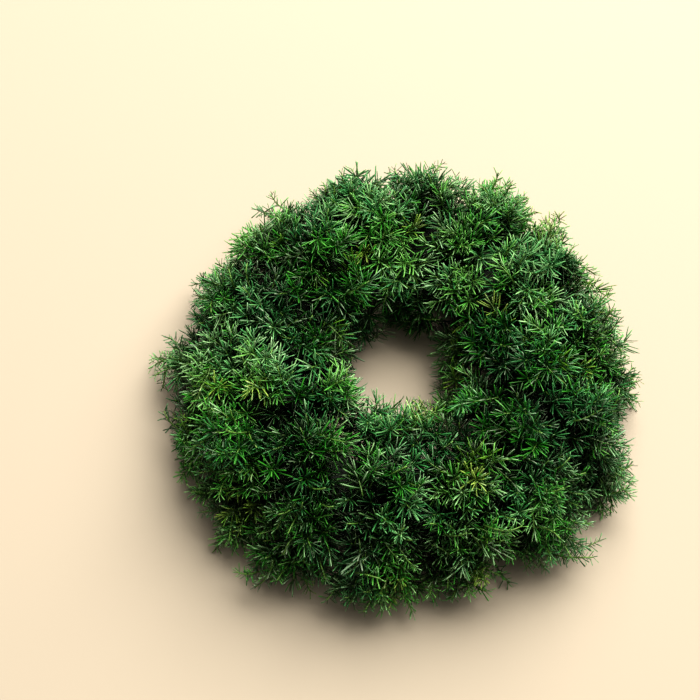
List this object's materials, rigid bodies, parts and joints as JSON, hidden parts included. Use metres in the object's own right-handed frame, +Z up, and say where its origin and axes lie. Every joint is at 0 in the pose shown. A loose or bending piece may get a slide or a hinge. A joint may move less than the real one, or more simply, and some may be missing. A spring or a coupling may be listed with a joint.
{
  "type": "preserved conifer wreath",
  "caption": "Round wreath of preserved soft-needled conifer sprigs set into a foam ring in a plastic tray, lying flat, open through the middle.",
  "frame": {"origin": "centre of the wreath's outline on the surface that it rests on", "axes": "+Z is up, square to the ring's plane; +X and +Y lie in the plane of the underside"},
  "size_m": [0.2566, 0.2418, 0.0654],
  "materials": {
    "tray": "injection moulded, fine satin texture",
    "foam": "cut open-cell dry foam, matt and powdery",
    "foliage": "preserved dyed needles on thin woody twigs, waxy semi-matt"
  },
  "bodies": {
    "root": {"base_tray": "tray", "crown_sprig_01": "foliage", "crown_sprig_02": "foliage", "crown_sprig_03": "foliage", "crown_sprig_04": "foliage", "crown_sprig_05": "foliage", "crown_sprig_06": "foliage", "crown_sprig_07": "foliage", "crown_sprig_08": "foliage", "crown_sprig_09": "foliage", "crown_sprig_10": "foliage", "crown_sprig_11": "foliage", "foam_ring": "foam", "inner_sprig_01": "foliage", "inner_sprig_02": "foliage", "inner_sprig_03": "foliage", "inner_sprig_04": "foliage", "inner_sprig_05": "foliage", "inner_sprig_06": "foliage", "inner_sprig_07": "foliage", "lip_sprig_01": "foliage", "lip_sprig_02": "foliage", "lip_sprig_03": "foliage", "lip_sprig_04": "foliage", "lip_sprig_05": "foliage", "lip_sprig_06": "foliage", "lip_sprig_07": "foliage", "lip_sprig_08": "foliage", "lip_sprig_09": "foliage", "outer_sprig_01": "foliage", "outer_sprig_02": "foliage", "outer_sprig_03": "foliage", "outer_sprig_04": "foliage", "outer_sprig_05": "foliage", "outer_sprig_06": "foliage", "outer_sprig_07": "foliage", "outer_sprig_08": "foliage", "outer_sprig_09": "foliage", "outer_sprig_10": "foliage", "outer_sprig_11": "foliage", "outer_sprig_12": "foliage", "outer_sprig_13": "foliage", "outer_sprig_14": "foliage", "outer_sprig_15": "foliage", "outer_sprig_16": "foliage", "shoulder_sprig_01": "foliage", "shoulder_sprig_02": "foliage", "shoulder_sprig_03": "foliage", "shoulder_sprig_04": "foliage", "shoulder_sprig_05": "foliage", "shoulder_sprig_06": "foliage", "shoulder_sprig_07": "foliage", "shoulder_sprig_08": "foliage", "shoulder_sprig_09": "foliage", "shoulder_sprig_10": "foliage", "shoulder_sprig_11": "foliage", "shoulder_sprig_12": "foliage", "shoulder_sprig_13": "foliage", "shoulder_sprig_14": "foliage"}
  },
  "joints": []
}
